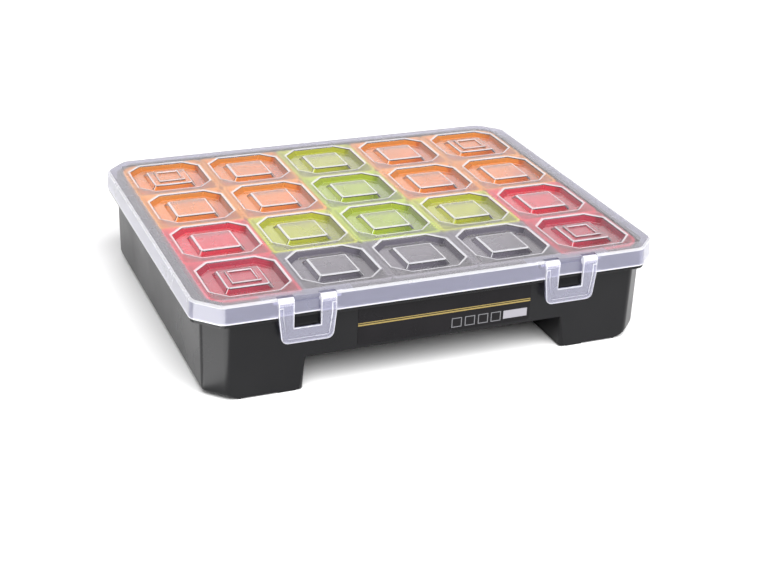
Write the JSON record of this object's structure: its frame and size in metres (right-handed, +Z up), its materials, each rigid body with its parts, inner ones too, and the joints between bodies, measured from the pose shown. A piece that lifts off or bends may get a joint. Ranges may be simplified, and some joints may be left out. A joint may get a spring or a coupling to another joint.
{
  "type": "screw organizer case",
  "caption": "Flat organizer case: black tray with a hand-hold notch, a grid of loose coloured bins, a clear hinged lid with an octagonal recess over each bin, and front snap latches.",
  "frame": {"origin": "middle of the footprint, on the table under the foot pads", "axes": "+X along the case to its right end seen from the front, -Y to the front with the latches, +Z up"},
  "size_m": [0.3224, 0.2654, 0.0686],
  "materials": {
    "base_plastic": "black polypropylene, finely textured satin",
    "lid_plastic": "milky clear polypropylene, smooth",
    "bin_orange": "orange polypropylene, satin",
    "bin_lime": "lime green polypropylene, satin",
    "bin_red": "red polypropylene, satin",
    "bin_black": "black polypropylene, satin",
    "label_film": "dark printed film, glossy, left without print"
  },
  "bodies": {
    "base": {"base_tray": "base_plastic", "front_label": "label_film", "bin_r1_c1": "bin_orange", "bin_r1_c2": "bin_orange", "bin_r1_c3": "bin_lime", "bin_r1_c4": "bin_orange", "bin_r1_c5": "bin_orange", "bin_r2_c1": "bin_orange", "bin_r2_c2": "bin_orange", "bin_r2_c3": "bin_lime", "bin_r2_c4": "bin_orange", "bin_r2_c5": "bin_orange", "bin_r3_c1": "bin_red", "bin_r3_c2": "bin_lime", "bin_r3_c3": "bin_lime", "bin_r3_c4": "bin_lime", "bin_r3_c5": "bin_red", "bin_r4_c1": "bin_red", "bin_r4_c2": "bin_black", "bin_r4_c3": "bin_black", "bin_r4_c4": "bin_black", "bin_r4_c5": "bin_red"},
    "lid": {"lid": "lid_plastic"},
    "latch_left": {"latch_left": "lid_plastic"},
    "latch_right": {"latch_right": "lid_plastic"}
  },
  "joints": [
    {"name": "lid_hinge", "type": "hinge", "parent": "base", "child": "lid", "pos_m": [0, 0.12892, 0.052], "axis": [-1, 0, 0], "range_deg": [0, 180]},
    {"name": "latch_left_hinge", "type": "hinge", "parent": "lid", "child": "latch_left", "pos_m": [-0.091, -0.12948, 0.06505], "axis": [-1, 0, 0], "range_deg": [-4.5, 120]},
    {"name": "latch_right_hinge", "type": "hinge", "parent": "lid", "child": "latch_right", "pos_m": [0.091, -0.12948, 0.06505], "axis": [-1, 0, 0], "range_deg": [-4.5, 120]}
  ]
}
